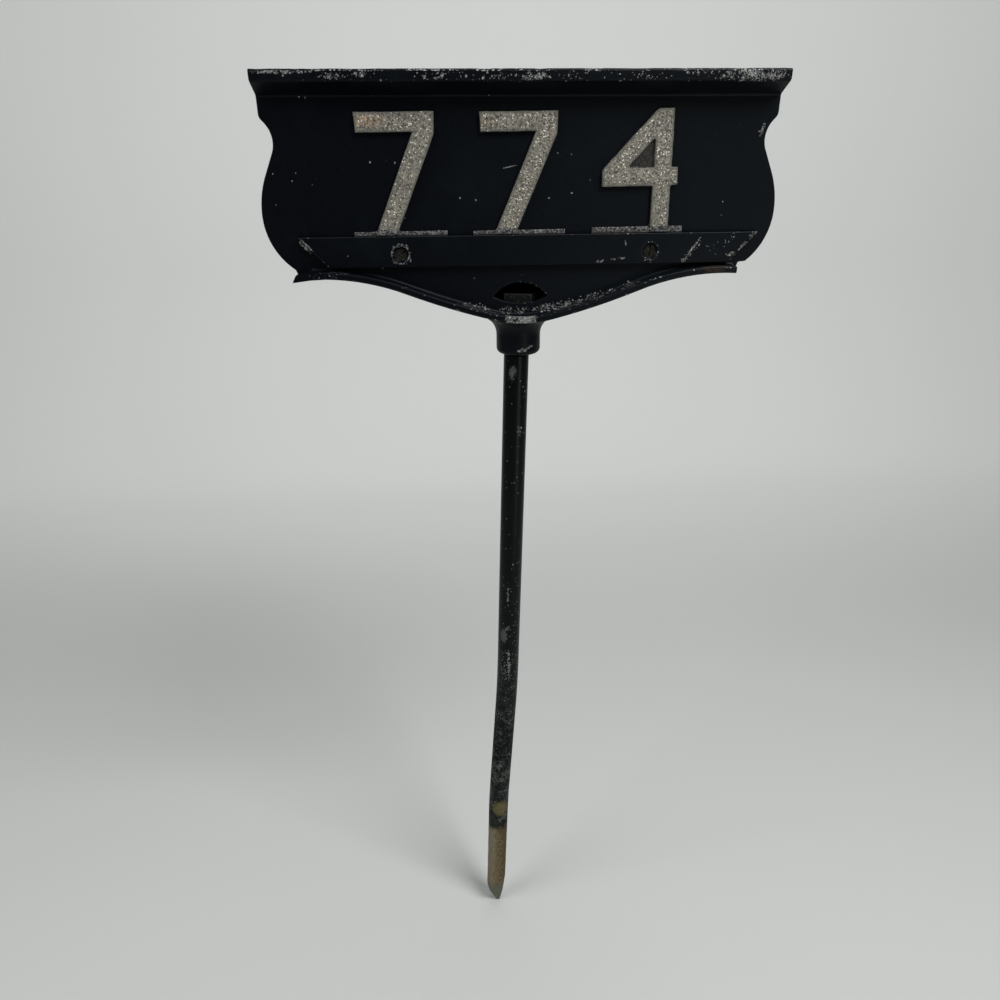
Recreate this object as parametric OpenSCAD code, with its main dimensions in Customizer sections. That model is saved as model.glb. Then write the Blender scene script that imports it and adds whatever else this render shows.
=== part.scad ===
// Lawn address plaque: a cast panel on a pointed stake, with three numerals
// held by a screwed bar. Millimetres, +Z up, the front looks along -Y.
// The origin is on the stake's axis at the ground line.

/* [Panel] */
// Height of the socket's lower face above the ground line
socket_z = 481.6; // [300:1:700]
// Thickness of the panel
panel_t = 6; // [4:0.5:10]
// Width across the shoulders, under the ledge
shoulder_w = 348.8; // [320:0.1:352]
// Width across the waist
waist_w = 334; // [325:0.1:336]
// Width across the belly
belly_w = 359.9; // [354:0.1:364]
// Height of the ledge's top face above the socket's lower face
panel_top = 189; // [180:0.1:200]
// Height of the waist's narrowest point above the socket's lower face
waist_h = 147.9; // [146:0.5:150]
// Height of the belly's widest point above the socket's lower face
belly_h = 101.9; // [100:0.5:104]

/* [Top ledge] */
// Width of the ledge
ledge_w = 348.8; // [340:0.1:360]
// How far the ledge stands out from the panel's face
ledge_out = 14.7; // [8:0.1:20]
// Height of the ledge's front face, rounded nose included
ledge_face = 8; // [6:0.1:12]
// Radius of the ledge's rounded nose
ledge_nose_r = 3; // [1:0.1:4]
// Slope of the ledge's underside, in degrees
ledge_slope = 26; // [20:1:30]
// Radius of the cove where the ledge meets the panel
ledge_cove_r = 2; // [1:0.1:4]

/* [Bottom flange] */
// How far the flange stands out from the panel's face
flange_out = 10; // [6:0.5:14]
// Thickness of the flange, measured across its curve
flange_t = 4.8; // [3:0.1:6]
// Fillet between the flange and the panel
flange_fillet_r = 2.2; // [1:0.1:3]
// Height of the flange's lowest point above the socket's lower face
flange_low = 26.8; // [26:0.1:29]
// Radius of the middle arc, over the socket
middle_arc_r = 85.7; // [80:0.1:95]
// Radius of the hollow arc on each side
hollow_arc_r = 510; // [490:1:530]
// Radius of the crowned arc at each end
crown_arc_r = 170; // [165:1:175]
// Slope where the middle arc meets the hollow arc, in degrees
middle_slope = 13.5; // [13:0.1:14]
// Slope where the hollow arc meets the crowned arc, in degrees
hollow_slope = 21; // [20.5:0.1:21.5]
// Where the flange's right end is broken off, from the middle
broken_end_x = 154; // [150:0.5:158]

/* [Socket and boss] */
// Distance of the socket's axis behind the panel's face
socket_y = 18.4; // [18:0.1:20]
// Outer diameter of the socket
socket_d = 33.6; // [28:0.1:36]
// Shift of the socket, boss and window to the right of the middle
socket_shift = -1.6; // [-2:0.1:0]
// Rounding of the socket's lower rim
socket_rim_r = 4; // [1:0.5:5]
// Height of the straight part of the socket
socket_straight = 14.4; // [12:0.1:16]
// Outer diameter of the boss that holds the nut, behind the panel
boss_d = 48.4; // [47:0.1:50]
// Height of the boss's top above the socket's lower face
boss_top = 63; // [60:0.5:70]
// Radius of the flare between the socket and the boss
flare_r = 13.8; // [10:0.1:16]

/* [Window and nut pocket] */
// Width of the almond window
window_w = 39.6; // [34:0.1:40]
// Height of the window's corners above the socket's lower face
window_h = 44.9; // [43:0.1:48]
// Rise of the window's upper arc above its corners
window_rise = 10.1; // [6:0.1:14]
// Drop of the window's lower arc below its corners
window_drop = 4.7; // [2:0.1:6]
// Height of the pocket's floor above the socket's lower face
pocket_floor = 32.3; // [31:0.1:36]
// Inner diameter of the pocket
pocket_d = 41; // [40.6:0.1:43]
// Depth of the window behind the panel's face
window_deep = 9; // [6:0.5:12]
// Thickness of the lip in front of the nut
lip_t = 0.8; // [0.5:0.1:0.9]
// Width of the hexagonal nut across its flats
nut_w = 33.3; // [30:0.1:33.3]
// Thickness of the nut
nut_t = 13.5; // [10:0.1:14]
// Turn of the nut about the stake, in degrees
nut_turn = -5; // [-5:1:0]

/* [Stake] */
// Diameter of the stake
stake_d = 19.5; // [16:0.1:20]
// Diameter of the threaded end that goes through the socket
thread_d = 15.9; // [12:0.1:16]
// Length of the stake below the ground line
buried = 124.5; // [100:0.5:160]
// Lean of the lowest stretch, in degrees
lean_low = 1.87; // [0:0.01:3]
// Lean of the middle stretch, in degrees
lean_mid = 3.77; // [3.5:0.01:5]
// Lean of the top stretch, in degrees
lean_top = 1.48; // [0:0.01:2]
// Height of the lower bend above the ground line
bend_low_z = 23.2; // [22:0.1:60]
// Height of the upper bend above the ground line
bend_high_z = 168.9; // [120:0.1:200]
// Bending radius of the lower bend
bend_low_r = 1000; // [600:10:1050]
// Bending radius of the upper bend
bend_high_r = 1500; // [600:10:2000]

/* [Numerals] */
// Height of a numeral above the bar
numeral_h = 77.4; // [70:0.1:80]
// Width of a numeral
numeral_w = 53; // [50:0.5:56]
// Thickness of a numeral
numeral_t = 3.2; // [2:0.1:4]
// Width of a stroke
stroke = 12.3; // [10:0.1:14]
// Width of the foot
foot_w = 65; // [58:0.5:70]
// Thickness of the foot
foot_t = 1.6; // [1:0.1:2]
// Height of the foot that shows above the bar
foot_show = 3.2; // [2:0.1:5]
// Length of the foot that the bar covers
foot_hidden = 7; // [4:0.1:7]
// Spacing of the numerals
numeral_pitch = 82.9; // [75:0.1:90]
// Left edge of the first numeral, from the middle
numeral_x = -112.1; // [-114:0.1:-108]
// How much each numeral is turned, right side up, in degrees
numeral_turn = 0.4; // [0:0.1:0.5]

/* [Retaining bar] */
// Length of the bar's upper edge
bar_top_w = 325; // [300:1:330]
// Length of the bar's lower edge
bar_low_w = 286; // [260:1:300]
// Height of the bar
bar_h = 20.3; // [18:0.1:20.5]
// Thickness of the bar
bar_t = 4.6; // [4.4:0.1:6]
// Height of the bar's lower edge above the socket's lower face
bar_z = 67.5; // [67.5:0.1:69]
// Shift of the bar to the right of the middle
bar_shift = 5.9; // [0:0.1:8]
// Distance between the two screws
screw_pitch = 177.8; // [160:0.1:200]
// Shift of the screws to the right of the middle
screw_shift = 2.3; // [0:0.1:4]
// Height of the screws above the bar's lower edge
screw_h = 8.1; // [8:0.1:8.5]
// Diameter of a screw's shank
screw_d = 4.2; // [3.5:0.1:4.4]
// Diameter of a screw's head
screw_head_d = 8.4; // [7:0.1:9]
// Diameter of the countersink at the bar's face
sink_d = 12.2; // [11:0.1:12.4]
// Length of a screw, head included
screw_len = 9.5; // [7:0.5:14]

/* [Hidden] */
$fn = 96;
eps = 0.02;

// Where the stake's stretches meet, from the ground line
bend_low_x = bend_low_z * tan(lean_low);
bend_high_x = bend_low_x + (bend_high_z - bend_low_z) * tan(lean_mid);
// The stake's axis where it enters the socket, and the plaque's own middle:
// the bore was drilled off centre, so the stake sits left of the middle
bore_offset = -3;
bore_x = bend_high_x + (socket_z - bend_high_z) * tan(lean_top);
middle_x = bore_x - bore_offset;
// How much smaller the stake's radius is in a bend, and how long the straight
// stretches take to come down to it
drawn = 0.15;
ease = 4;

// How far the last numeral sits to the right of its place, and above it
last_shift = [1, 1.2];

// Flange arcs: centres [x, z] from the middle of the socket's lower face
middle_c = [0, flange_low + middle_arc_r];
hollow_start = middle_c + middle_arc_r * [sin(middle_slope), -cos(middle_slope)];
hollow_c = hollow_start + hollow_arc_r * [-sin(middle_slope), cos(middle_slope)];
crown_start = hollow_c + hollow_arc_r * [sin(hollow_slope), -cos(hollow_slope)];
crown_c = crown_start + crown_arc_r * [sin(hollow_slope), -cos(hollow_slope)];
// Angle of the broken end on the crowned arc
broken_angle = acos((broken_end_x - crown_c[0]) / crown_arc_r);
// The left end runs on into a point
flare_tip = [-162.7, 58.3];
flare_top = [-159.8, 63.4];
flare_shoulder = [-149.8, 64.8];
flare_root_x = -140;
flare_lap = 0.8;
flare_angle = acos((150 - crown_c[0]) / crown_arc_r);

// The planes where the arcs meet, each given by two points
middle_joint = joint_line(middle_c, middle_arc_r, -90 + middle_slope);
hollow_joint = joint_line(hollow_c, hollow_arc_r, -90 + hollow_slope);

// Top ledge: [y, z] from the panel's face and the ledge's top
nose_c = [ledge_nose_r - ledge_out, ledge_nose_r - ledge_face];
nose_end = nose_c - ledge_nose_r * [sin(ledge_slope), cos(ledge_slope)];
cove_start_y = ledge_cove_r * (sin(ledge_slope) - 1);
cove_z = nose_end[1] - (cove_start_y - nose_end[0]) * tan(ledge_slope) - ledge_cove_r * cos(ledge_slope);

// Side outline: the shoulder's corner, the waist's cove and the belly's two arcs
corner_r = 5;
waist_r = 17;
belly_high_r = 63;
belly_low_r = 44;
corner_slope = 38.7;
belly_slope = 22;
belly_end = 52;
cove_c = [waist_w / 2 + waist_r, waist_h];
corner_c = [shoulder_w / 2 - corner_r, waist_h + 16.6];
belly_high_c = [belly_w / 2 - belly_high_r, belly_h];
belly_low_c = [belly_w / 2 - belly_low_r, belly_h];

// Countersink: half angle of the cone, and how deep the head lies
sink_half = 41;
head_deep = (sink_d - screw_head_d) / 2 / tan(sink_half);
play = 0.05;

// A length to the nearest thousandth, so that neighbouring arcs share one section
function mm3(v) = round(v * 1000) / 1000;
// Points on a round stretch
function arc(c, r, a0, a1, n = 10) =
    [for (i = [0:n]) let (a = a0 + (a1 - a0) * i / n) c + r * [cos(a), sin(a)]];
function mirrored(pts) = [for (i = [len(pts) - 1:-1:0]) [-pts[i][0], pts[i][1]]];

// Stands a flat outline up in the XZ plane, from the face y0 back to y1
module upright(y0, y1) {
    translate([0, y1, 0]) rotate([90, 0, 0]) linear_extrude(y1 - y0) children();
}

// Everything on the plaque is placed from the middle of the socket's lower face
module on_plaque() {
    translate([middle_x, -socket_y, socket_z]) children();
}

// The top stretch of the stake, from the socket's lower face upwards
module on_stake_top() {
    translate([bore_x, 0, socket_z]) rotate([0, lean_top, 0]) children();
}

// Side of the panel from the ledge to the flange
function side() = concat(
    [[ledge_w / 2, panel_top - ledge_face / 2], [ledge_w / 2, panel_top + cove_z - 0.3]],
    arc(corner_c, corner_r, 0, -corner_slope, 4),
    arc(cove_c, waist_r, 180 - corner_slope, 180 + belly_slope, 12),
    arc(belly_high_c, belly_high_r, belly_slope, 2, 8),
    arc(belly_low_c, belly_low_r, 0, -belly_end, 12));

// Lower edge of the panel, which runs inside the flange, from the middle outwards
function lower_edge() = let (in = flange_t / 2) concat(
    arc(middle_c, middle_arc_r - in, -90, -90 + middle_slope, 4),
    arc(hollow_c, hollow_arc_r - in, -90 + middle_slope, -90 + hollow_slope, 6),
    arc(crown_c, crown_arc_r + in, 90 + hollow_slope, broken_angle + 1, 8));

module panel_outline() {
    right_end = [[158, 66.8], [156, 61.2]];
    left_end = [[161.2, 66], [159.6, 62]];
    low = lower_edge();
    outward = [for (i = [1:len(low) - 1]) low[i]];
    polygon(concat(side(), right_end, [for (i = [len(outward) - 1:-1:0]) outward[i]],
                   [low[0]], mirrored([for (i = [len(outward) - 1:-1:0]) outward[i]]),
                   mirrored(concat(side(), left_end))));
}

// Section of the top ledge: [y, z] from the panel's face and the ledge's top
module ledge_section() {
    polygon(concat(
        [[panel_t, 0], [1 - ledge_out, 0], [-ledge_out, -1]],
        arc(nose_c, ledge_nose_r, 180, 270 - ledge_slope, 8),
        arc([-ledge_cove_r, cove_z], ledge_cove_r, 90 - ledge_slope, 0, 6),
        [[panel_t, cove_z]]));
}

module top_ledge() {
    translate([-ledge_w / 2, 0, panel_top]) rotate([90, 0, 90])
        linear_extrude(ledge_w) ledge_section();
}

// Section of the flange: [distance from the arc's centre, distance forward].
// The panel lies above the flange, which is outwards on a crowned arc (s = 1)
// and inwards on a hollow one (s = -1).
module flange_section(r, s) {
    f = flange_fillet_r;
    top = r + s * flange_t;
    edge = 0.7;
    fillet = [for (a = [0:18:90]) [mm3(top + s * f * (1 - sin(a))), mm3(f * (1 - cos(a)))]];
    polygon(concat(
        [[r, -panel_t], [r, flange_out - edge], [r + s * edge, flange_out],
         [top - s * edge, flange_out], [top, flange_out - edge]],
        [for (i = [len(fillet) - 1:-1:0]) fillet[i]],
        [[top + s * f, -panel_t]]));
}

// Two points either side of the flange, on the plane where one arc meets the next
function joint_line(c, r, a) = let (out = [cos(a), sin(a)], k = 3 * flange_t)
    [c + (r - k) * out, c + (r + k) * out];

// Moves to a point [x, z] in two steps, whole millimetres first, so that the
// arcs meet with nothing lost in rounding
module at(c) {
    whole = [round(c[0]), round(c[1])];
    translate([whole[0], 0, whole[1]]) translate([c[0] - whole[0], 0, c[1] - whole[1]]) children();
}

// A ring of the flange's section, of which the stretch between two joint lines is kept
module flange_arc(c, r, s, from, to) {
    intersection() {
        at(c) rotate([90, 0, 0]) rotate_extrude($fn = 360) flange_section(r, s);
        upright(-flange_out - 1, panel_t + 1) polygon([from[0], from[1], to[1], to[0]]);
    }
}

module flange_half(end_angle) {
    flange_arc(hollow_c, hollow_arc_r, -1, middle_joint, hollow_joint);
    flange_arc(crown_c, crown_arc_r, 1, [hollow_joint[1], hollow_joint[0]],
               joint_line(crown_c, crown_arc_r, end_angle));
}

module bottom_flange() {
    flange_arc(middle_c, middle_arc_r, -1, [for (p = middle_joint) [-p[0], p[1]]], middle_joint);
    flange_half(broken_angle);
    mirror([1, 0, 0]) flange_half(flare_angle);
    // The point starts inside the arc's thickness
    root_z = crown_c[1] + sqrt(pow(crown_arc_r, 2) - pow(flare_root_x + crown_c[0], 2));
    upright(-flange_out, panel_t) polygon([
        [flare_root_x, root_z + flare_lap], [flare_root_x, root_z + flange_t - flare_lap],
        flare_shoulder, flare_top, [flare_tip[0] + 0.3, flare_tip[1] + 0.7], flare_tip]);
}

// Socket, flare and boss, turned about the socket's axis
module socket_and_boss() {
    boss_r = boss_d / 2;
    sock_r = socket_d / 2;
    flare_c = [sock_r + flare_r, socket_straight];
    flare_end = acos((flare_c[0] - boss_r) / flare_r);
    crown_r = 6;
    translate([0, socket_y, 0]) rotate_extrude() polygon(concat(
        [[0, 0]],
        arc([sock_r - socket_rim_r, socket_rim_r], socket_rim_r, -90, 0, 6),
        arc(flare_c, flare_r, 180, 180 - flare_end, 8),
        arc([boss_r - crown_r, boss_top - crown_r], crown_r, 0, 90, 6),
        [[0, boss_top]]));
}

// The almond window is where two circles overlap
module window_outline() {
    half = window_w / 2;
    upper_r = (half * half + window_rise * window_rise) / 2 / window_rise;
    lower_r = (half * half + window_drop * window_drop) / 2 / window_drop;
    intersection() {
        translate([0, window_h + window_rise - upper_r]) circle(upper_r);
        translate([0, window_h - window_drop + lower_r]) circle(lower_r, $fn = 180);
    }
}

module nut_pocket() {
    upright(-1, window_deep) window_outline();
    difference() {
        translate([0, socket_y, pocket_floor])
            cylinder(h = window_h + window_rise - pocket_floor, d = pocket_d);
        translate([-pocket_d, lip_t - pocket_d, 0]) cube([2 * pocket_d, pocket_d, 2 * boss_top]);
    }
}

module plaque_casting() {
    color([0.07, 0.08, 0.09]) difference() {
        on_plaque() difference() {
            union() {
                upright(0, panel_t) panel_outline();
                top_ledge();
                bottom_flange();
                // Above the flange, nothing of the boss stands in front of the panel
                translate([socket_shift, 0, 0]) difference() {
                    socket_and_boss();
                    translate([-boss_d, -boss_d, flange_low + 2]) cube([2 * boss_d, boss_d, boss_top]);
                }
            }
            translate([socket_shift, 0, 0]) nut_pocket();
            for (side = [-1, 1])
                translate([screw_shift + side * screw_pitch / 2, -1, bar_z + screw_h])
                    rotate([-90, 0, 0]) cylinder(h = panel_t + 2, d = screw_d + 2 * play, $fn = 32);
        }
        on_stake_top() translate([0, 0, -5])
            cylinder(h = pocket_floor + 6, d = thread_d + 0.6, $fn = 48);
    }
}

module bar_outline() {
    polygon([[-bar_low_w / 2, 0], [bar_low_w / 2, 0],
             [bar_top_w / 2, bar_h], [-bar_top_w / 2, bar_h]]);
}

module retaining_bar() {
    rebate_h = foot_hidden + 0.3;
    color([0.08, 0.09, 0.10]) on_plaque() translate([0, 0, bar_z]) difference() {
        translate([bar_shift, 0, 0]) upright(-bar_t, 0) bar_outline();
        // Rebate behind the upper edge, where the numerals' feet are clamped
        translate([-200, -foot_t, bar_h - rebate_h]) cube([400, foot_t + 1, rebate_h + 1]);
        for (side = [-1, 1])
            translate([screw_shift + side * screw_pitch / 2, -bar_t, screw_h]) rotate([-90, 0, 0]) {
                translate([0, 0, -1]) cylinder(h = bar_t + 2, d = screw_d + 0.4, $fn = 32);
                translate([0, 0, -eps])
                    cylinder(h = sink_d / 2 / tan(sink_half), d1 = sink_d, d2 = 0, $fn = 48);
            }
    }
}

// A countersunk screw with a sawn slot, its head's face at z = 0
module screw(slot_turn) {
    free_head_d = screw_head_d - 2 * play;
    head_h = (free_head_d - screw_d) / 2 / tan(sink_half);
    slot_w = 1.2;
    slot_deep = 1.1;
    difference() {
        union() {
            mirror([0, 0, 1]) cylinder(h = head_h, d1 = free_head_d, d2 = screw_d, $fn = 48);
            mirror([0, 0, 1]) cylinder(h = screw_len, d = screw_d, $fn = 32);
        }
        rotate([0, 0, slot_turn]) translate([-screw_head_d, -slot_w / 2, -slot_deep])
            cube([2 * screw_head_d, slot_w, slot_deep + 1]);
    }
}

module bar_screws() {
    turns = [35, 82];
    color([0.30, 0.27, 0.23]) on_plaque() for (i = [0, 1])
        translate([screw_shift + (2 * i - 1) * screw_pitch / 2, head_deep - bar_t, bar_z + screw_h])
            rotate([90, 0, 0]) screw(turns[i]);
}

// Outline of a seven, from its lower left corner
module seven() {
    leg_foot = 8.9;
    leg_w = 14.8;
    inner_x = numeral_w - 15;
    right_z = numeral_h - 13.9;
    polygon([[leg_foot, 0], [leg_foot + leg_w, 0], [numeral_w - 0.6, right_z], [numeral_w, numeral_h],
             [0, numeral_h], [0.6, numeral_h - stroke], [inner_x, numeral_h - stroke]]);
}

// Outline of a four, from its lower left corner
module four() {
    stem_x = 35.4;
    stem_w = 12.8;
    foot_z = -1;
    cross_z = 29.2;
    cross_top = cross_z + 11.9;
    polygon([[stem_x, foot_z], [stem_x + stem_w, foot_z], [stem_x + stem_w, cross_z],
             [numeral_w, cross_z + 0.8], [numeral_w - 0.6, cross_top], [stem_x + stem_w, cross_top + 0.4],
             [stem_x + stem_w - 0.5, numeral_h], [stem_x + 2.2, numeral_h],
             [stem_x - 0.4, numeral_h - 1.6], [0.9, cross_top - 0.2], [0, cross_top - 2.4],
             [0, cross_z], [stem_x, cross_z]]);
}

// The closed counter of the four is a shallow recess, not a hole
module four_counter() {
    polygon([[18.7, 42.6], [19, 41.4], [35.7, 41.4], [35.7, 58.8], [34.6, 58.8]]);
}

// A numeral and its foot: place 0, 1 or 2 from the left
module numeral(place) {
    gap = 0.3;
    web_t = 1.2;
    shift = place == 2 ? last_shift : [0, 0];
    color([0.66, 0.62, 0.54]) on_plaque()
        translate([numeral_x + place * numeral_pitch + numeral_w / 2 + shift[0], 0, bar_z + bar_h + shift[1]])
            rotate([0, -numeral_turn, 0]) translate([-numeral_w / 2, 0, 0]) {
                difference() {
                    translate([0, 0, gap]) upright(-numeral_t, 0) {
                        if (place == 2) four(); else seven();
                    }
                    if (place == 2) upright(-numeral_t - 1, -web_t) four_counter();
                }
                translate([(numeral_w - foot_w) / 2, -foot_t, -foot_hidden])
                    cube([foot_w, foot_t, foot_hidden + foot_show]);
            }
}

module numeral_left() numeral(0);
module numeral_middle() numeral(1);
module numeral_right() numeral(2);

// A straight stretch, turned about its axis and eased at an end that goes into a bend
module stretch(length, low_ease, high_ease) {
    r = stake_d / 2;
    rotate_extrude() polygon([
        [0, 0], [r - (low_ease > 0 ? 2 * drawn : 0), 0], [r, low_ease],
        [r, length - high_ease], [r - (high_ease > 0 ? 2 * drawn : 0), length], [0, length]]);
}

// A bend that starts upwards and turns towards +X by the angle. It is drawn a
// little thinner than the straight stretches, and laps into both.
module bend(r, angle) {
    lap = asin(ease / r);
    translate([r, 0, 0]) rotate([90, 0, 0]) rotate([0, 0, 180 - angle - lap])
        rotate_extrude(angle = angle + 2 * lap, $fn = 2880)
            translate([r, 0]) circle(d = stake_d - 2 * drawn);
}

// The hand-ground point's flats: the long one is on the right, the short one on the left
module point_flats() {
    blunt = 1.8;
    left_turn = 21.7;
    right_turn = 6.9;
    face_turn = 13;
    tip_x = 2.6;
    module flat(out, turn) {
        rotate([0, turn, 0]) translate([out, -30, -40]) cube([60, 60, 200]);
    }
    translate([tip_x + blunt, 0, 0]) flat(0, right_turn);
    translate([tip_x - blunt, 0, 0]) mirror([1, 0, 0]) flat(0, left_turn);
    for (turn = [90, -90])
        rotate([0, 0, turn]) translate([blunt, 0, 0]) flat(0, face_turn);
}

// The top stretch up to its shoulder, and the threaded end that goes through the socket
module threaded_stretch(length) {
    r = stake_d / 2;
    chamfer = 1;
    thread_r = thread_d / 2;
    end_z = length + pocket_floor + nut_t;
    rotate_extrude() polygon([
        [0, 0], [r - 2 * drawn, 0], [r, ease], [r, length - chamfer], [r - chamfer, length],
        [thread_r, length], [thread_r, end_z - chamfer], [thread_r - chamfer, end_z], [0, end_z]]);
}

module stake() {
    low_turn = lean_mid - lean_low;
    high_turn = lean_mid - lean_top;
    low_tangent = bend_low_r * tan(low_turn / 2);
    high_tangent = bend_high_r * tan(high_turn / 2);
    low_len = bend_low_z / cos(lean_low) - low_tangent;
    mid_len = (bend_high_z - bend_low_z) / cos(lean_mid) - low_tangent - high_tangent;
    seat = stake_d / 2 * tan(lean_top) + play;
    top_len = (socket_z - bend_high_z) / cos(lean_top) - high_tangent - seat;
    $fn = 48;
    color([0.09, 0.09, 0.09]) rotate([0, lean_low, 0]) {
        translate([0, 0, -buried]) difference() {
            stretch(buried + low_len, 0, ease);
            point_flats();
        }
        translate([0, 0, low_len]) {
            bend(bend_low_r, low_turn);
            translate([bend_low_r * (1 - cos(low_turn)), 0, bend_low_r * sin(low_turn)])
                rotate([0, low_turn, 0]) {
                    stretch(mid_len, ease, ease);
                    translate([0, 0, mid_len]) {
                        mirror([1, 0, 0]) bend(bend_high_r, high_turn);
                        translate([-bend_high_r * (1 - cos(high_turn)), 0,
                                   bend_high_r * sin(high_turn)])
                            rotate([0, -high_turn, 0]) threaded_stretch(top_len);
                    }
                }
        }
    }
}

// A hexagonal nut, its upper corners chamfered
module stake_nut() {
    corner_d = nut_w / cos(30);
    rise = corner_d / 2 * tan(lean_top) + play;
    flat_r = nut_w / 2 + 1.2;
    chamfer_h = 3;
    spread = 6;
    color([0.42, 0.42, 0.40]) on_stake_top() translate([0, 0, pocket_floor + rise])
        rotate([0, 0, nut_turn]) difference() {
            intersection() {
                cylinder(h = nut_t, d = corner_d, $fn = 6);
                union() {
                    cylinder(h = nut_t - chamfer_h, r = flat_r + spread);
                    translate([0, 0, nut_t - chamfer_h])
                        cylinder(h = chamfer_h, r1 = flat_r + spread, r2 = flat_r);
                }
            }
            translate([0, 0, -1]) cylinder(h = nut_t + 2, d = thread_d + 2 * play, $fn = 48);
        }
}

plaque_casting();
retaining_bar();
numeral_left();
numeral_middle();
numeral_right();
bar_screws();
stake();
stake_nut();
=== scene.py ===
"""Dresses a cast address plaque on its stake: worn black paint, bead-blasted numerals, tarnished steel."""
import logging
import math
from dataclasses import dataclass
from enum import Enum
from typing import Callable

import bmesh
import bpy
from mathutils import Matrix, Vector, noise


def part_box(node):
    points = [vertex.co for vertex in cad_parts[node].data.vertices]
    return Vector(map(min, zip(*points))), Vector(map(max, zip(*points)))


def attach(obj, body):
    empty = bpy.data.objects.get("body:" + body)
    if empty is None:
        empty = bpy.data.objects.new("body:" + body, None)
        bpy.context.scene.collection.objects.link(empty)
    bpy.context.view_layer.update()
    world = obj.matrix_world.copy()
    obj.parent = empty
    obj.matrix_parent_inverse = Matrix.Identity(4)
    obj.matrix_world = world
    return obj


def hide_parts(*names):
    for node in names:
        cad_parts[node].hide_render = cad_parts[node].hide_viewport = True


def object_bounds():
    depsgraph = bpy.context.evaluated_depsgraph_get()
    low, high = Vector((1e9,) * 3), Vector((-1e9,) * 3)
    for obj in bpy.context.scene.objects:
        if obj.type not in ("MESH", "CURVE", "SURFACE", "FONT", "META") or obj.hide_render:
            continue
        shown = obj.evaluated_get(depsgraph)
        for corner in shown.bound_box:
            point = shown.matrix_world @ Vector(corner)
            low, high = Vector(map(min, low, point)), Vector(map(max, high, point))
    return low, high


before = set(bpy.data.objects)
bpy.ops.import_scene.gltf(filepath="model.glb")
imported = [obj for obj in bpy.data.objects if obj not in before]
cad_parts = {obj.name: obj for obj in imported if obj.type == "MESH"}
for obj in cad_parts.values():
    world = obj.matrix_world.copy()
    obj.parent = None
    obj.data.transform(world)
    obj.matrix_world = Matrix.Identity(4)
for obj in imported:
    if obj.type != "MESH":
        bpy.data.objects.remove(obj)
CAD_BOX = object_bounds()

MM = 0.001
BODY = "root"
NOISE_SEED = 5
SEAM = 0.002 * MM
FLAT = math.radians(0.6)
# A second, finer wave runs over each wave: its share of the height, and how much shorter it is
RIPPLE_SHARE, RIPPLE_RATE = 0.6, 2.7
# How far the rims of single chips wander, in millimetres
CHIP_JAG = 2.2
log = logging.getLogger("plaque")

Colour = tuple[float, float, float]
Place = tuple[float, float, float]
Span = tuple[float, float]
Socket = bpy.types.NodeSocket
Edge = bmesh.types.BMEdge


class Node(str, Enum):
    """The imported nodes."""

    CASTING = "plaque_casting"
    BAR = "retaining_bar"
    NUMERAL_LEFT = "numeral_left"
    NUMERAL_MIDDLE = "numeral_middle"
    NUMERAL_RIGHT = "numeral_right"
    SCREWS = "bar_screws"
    STAKE = "stake"
    NUT = "stake_nut"


class Slot(str, Enum):
    """The record's material slots."""

    CASTING = "casting_paint"
    BAR = "bar_paint"
    NUMERALS = "blasted_numerals"
    SCREWS = "screw_steel"
    STAKE = "stake_paint"
    NUT = "nut_steel"


class Layer(str, Enum):
    """Numbers stored on the meshes, which the finishes read."""

    EDGE = "edge"
    CORE = "core"
    FLANK = "flank"
    WEB = "web"


class Mark(Enum):
    """What a patch shows where the paint or the metal has suffered."""

    BARE = "bare metal"
    STAIN = "brown stain"
    SCRAPE = "smooth grey scrape"
    SMEAR = "black smear over the earth"


@dataclass(frozen=True)
class Patch:
    """A worn place: an ellipsoid or a box, in millimetres, turned in the panel's plane.

    The density is the share of the grains that are worn in its middle. It falls off to the rim,
    which the jag moves in and out.
    """

    centre: Place
    size: Place
    turn: float = 0.0
    density: float = 1.0
    mark: Mark = Mark.BARE
    jag: float = 0.7
    boxy: bool = False

    @property
    def full(self) -> float:
        """Share of the size within which the density is full."""
        return 0.85 if self.boxy else 0.35


@dataclass(frozen=True)
class Speck:
    """A single chip, in millimetres."""

    centre: Place
    radius: float


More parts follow.
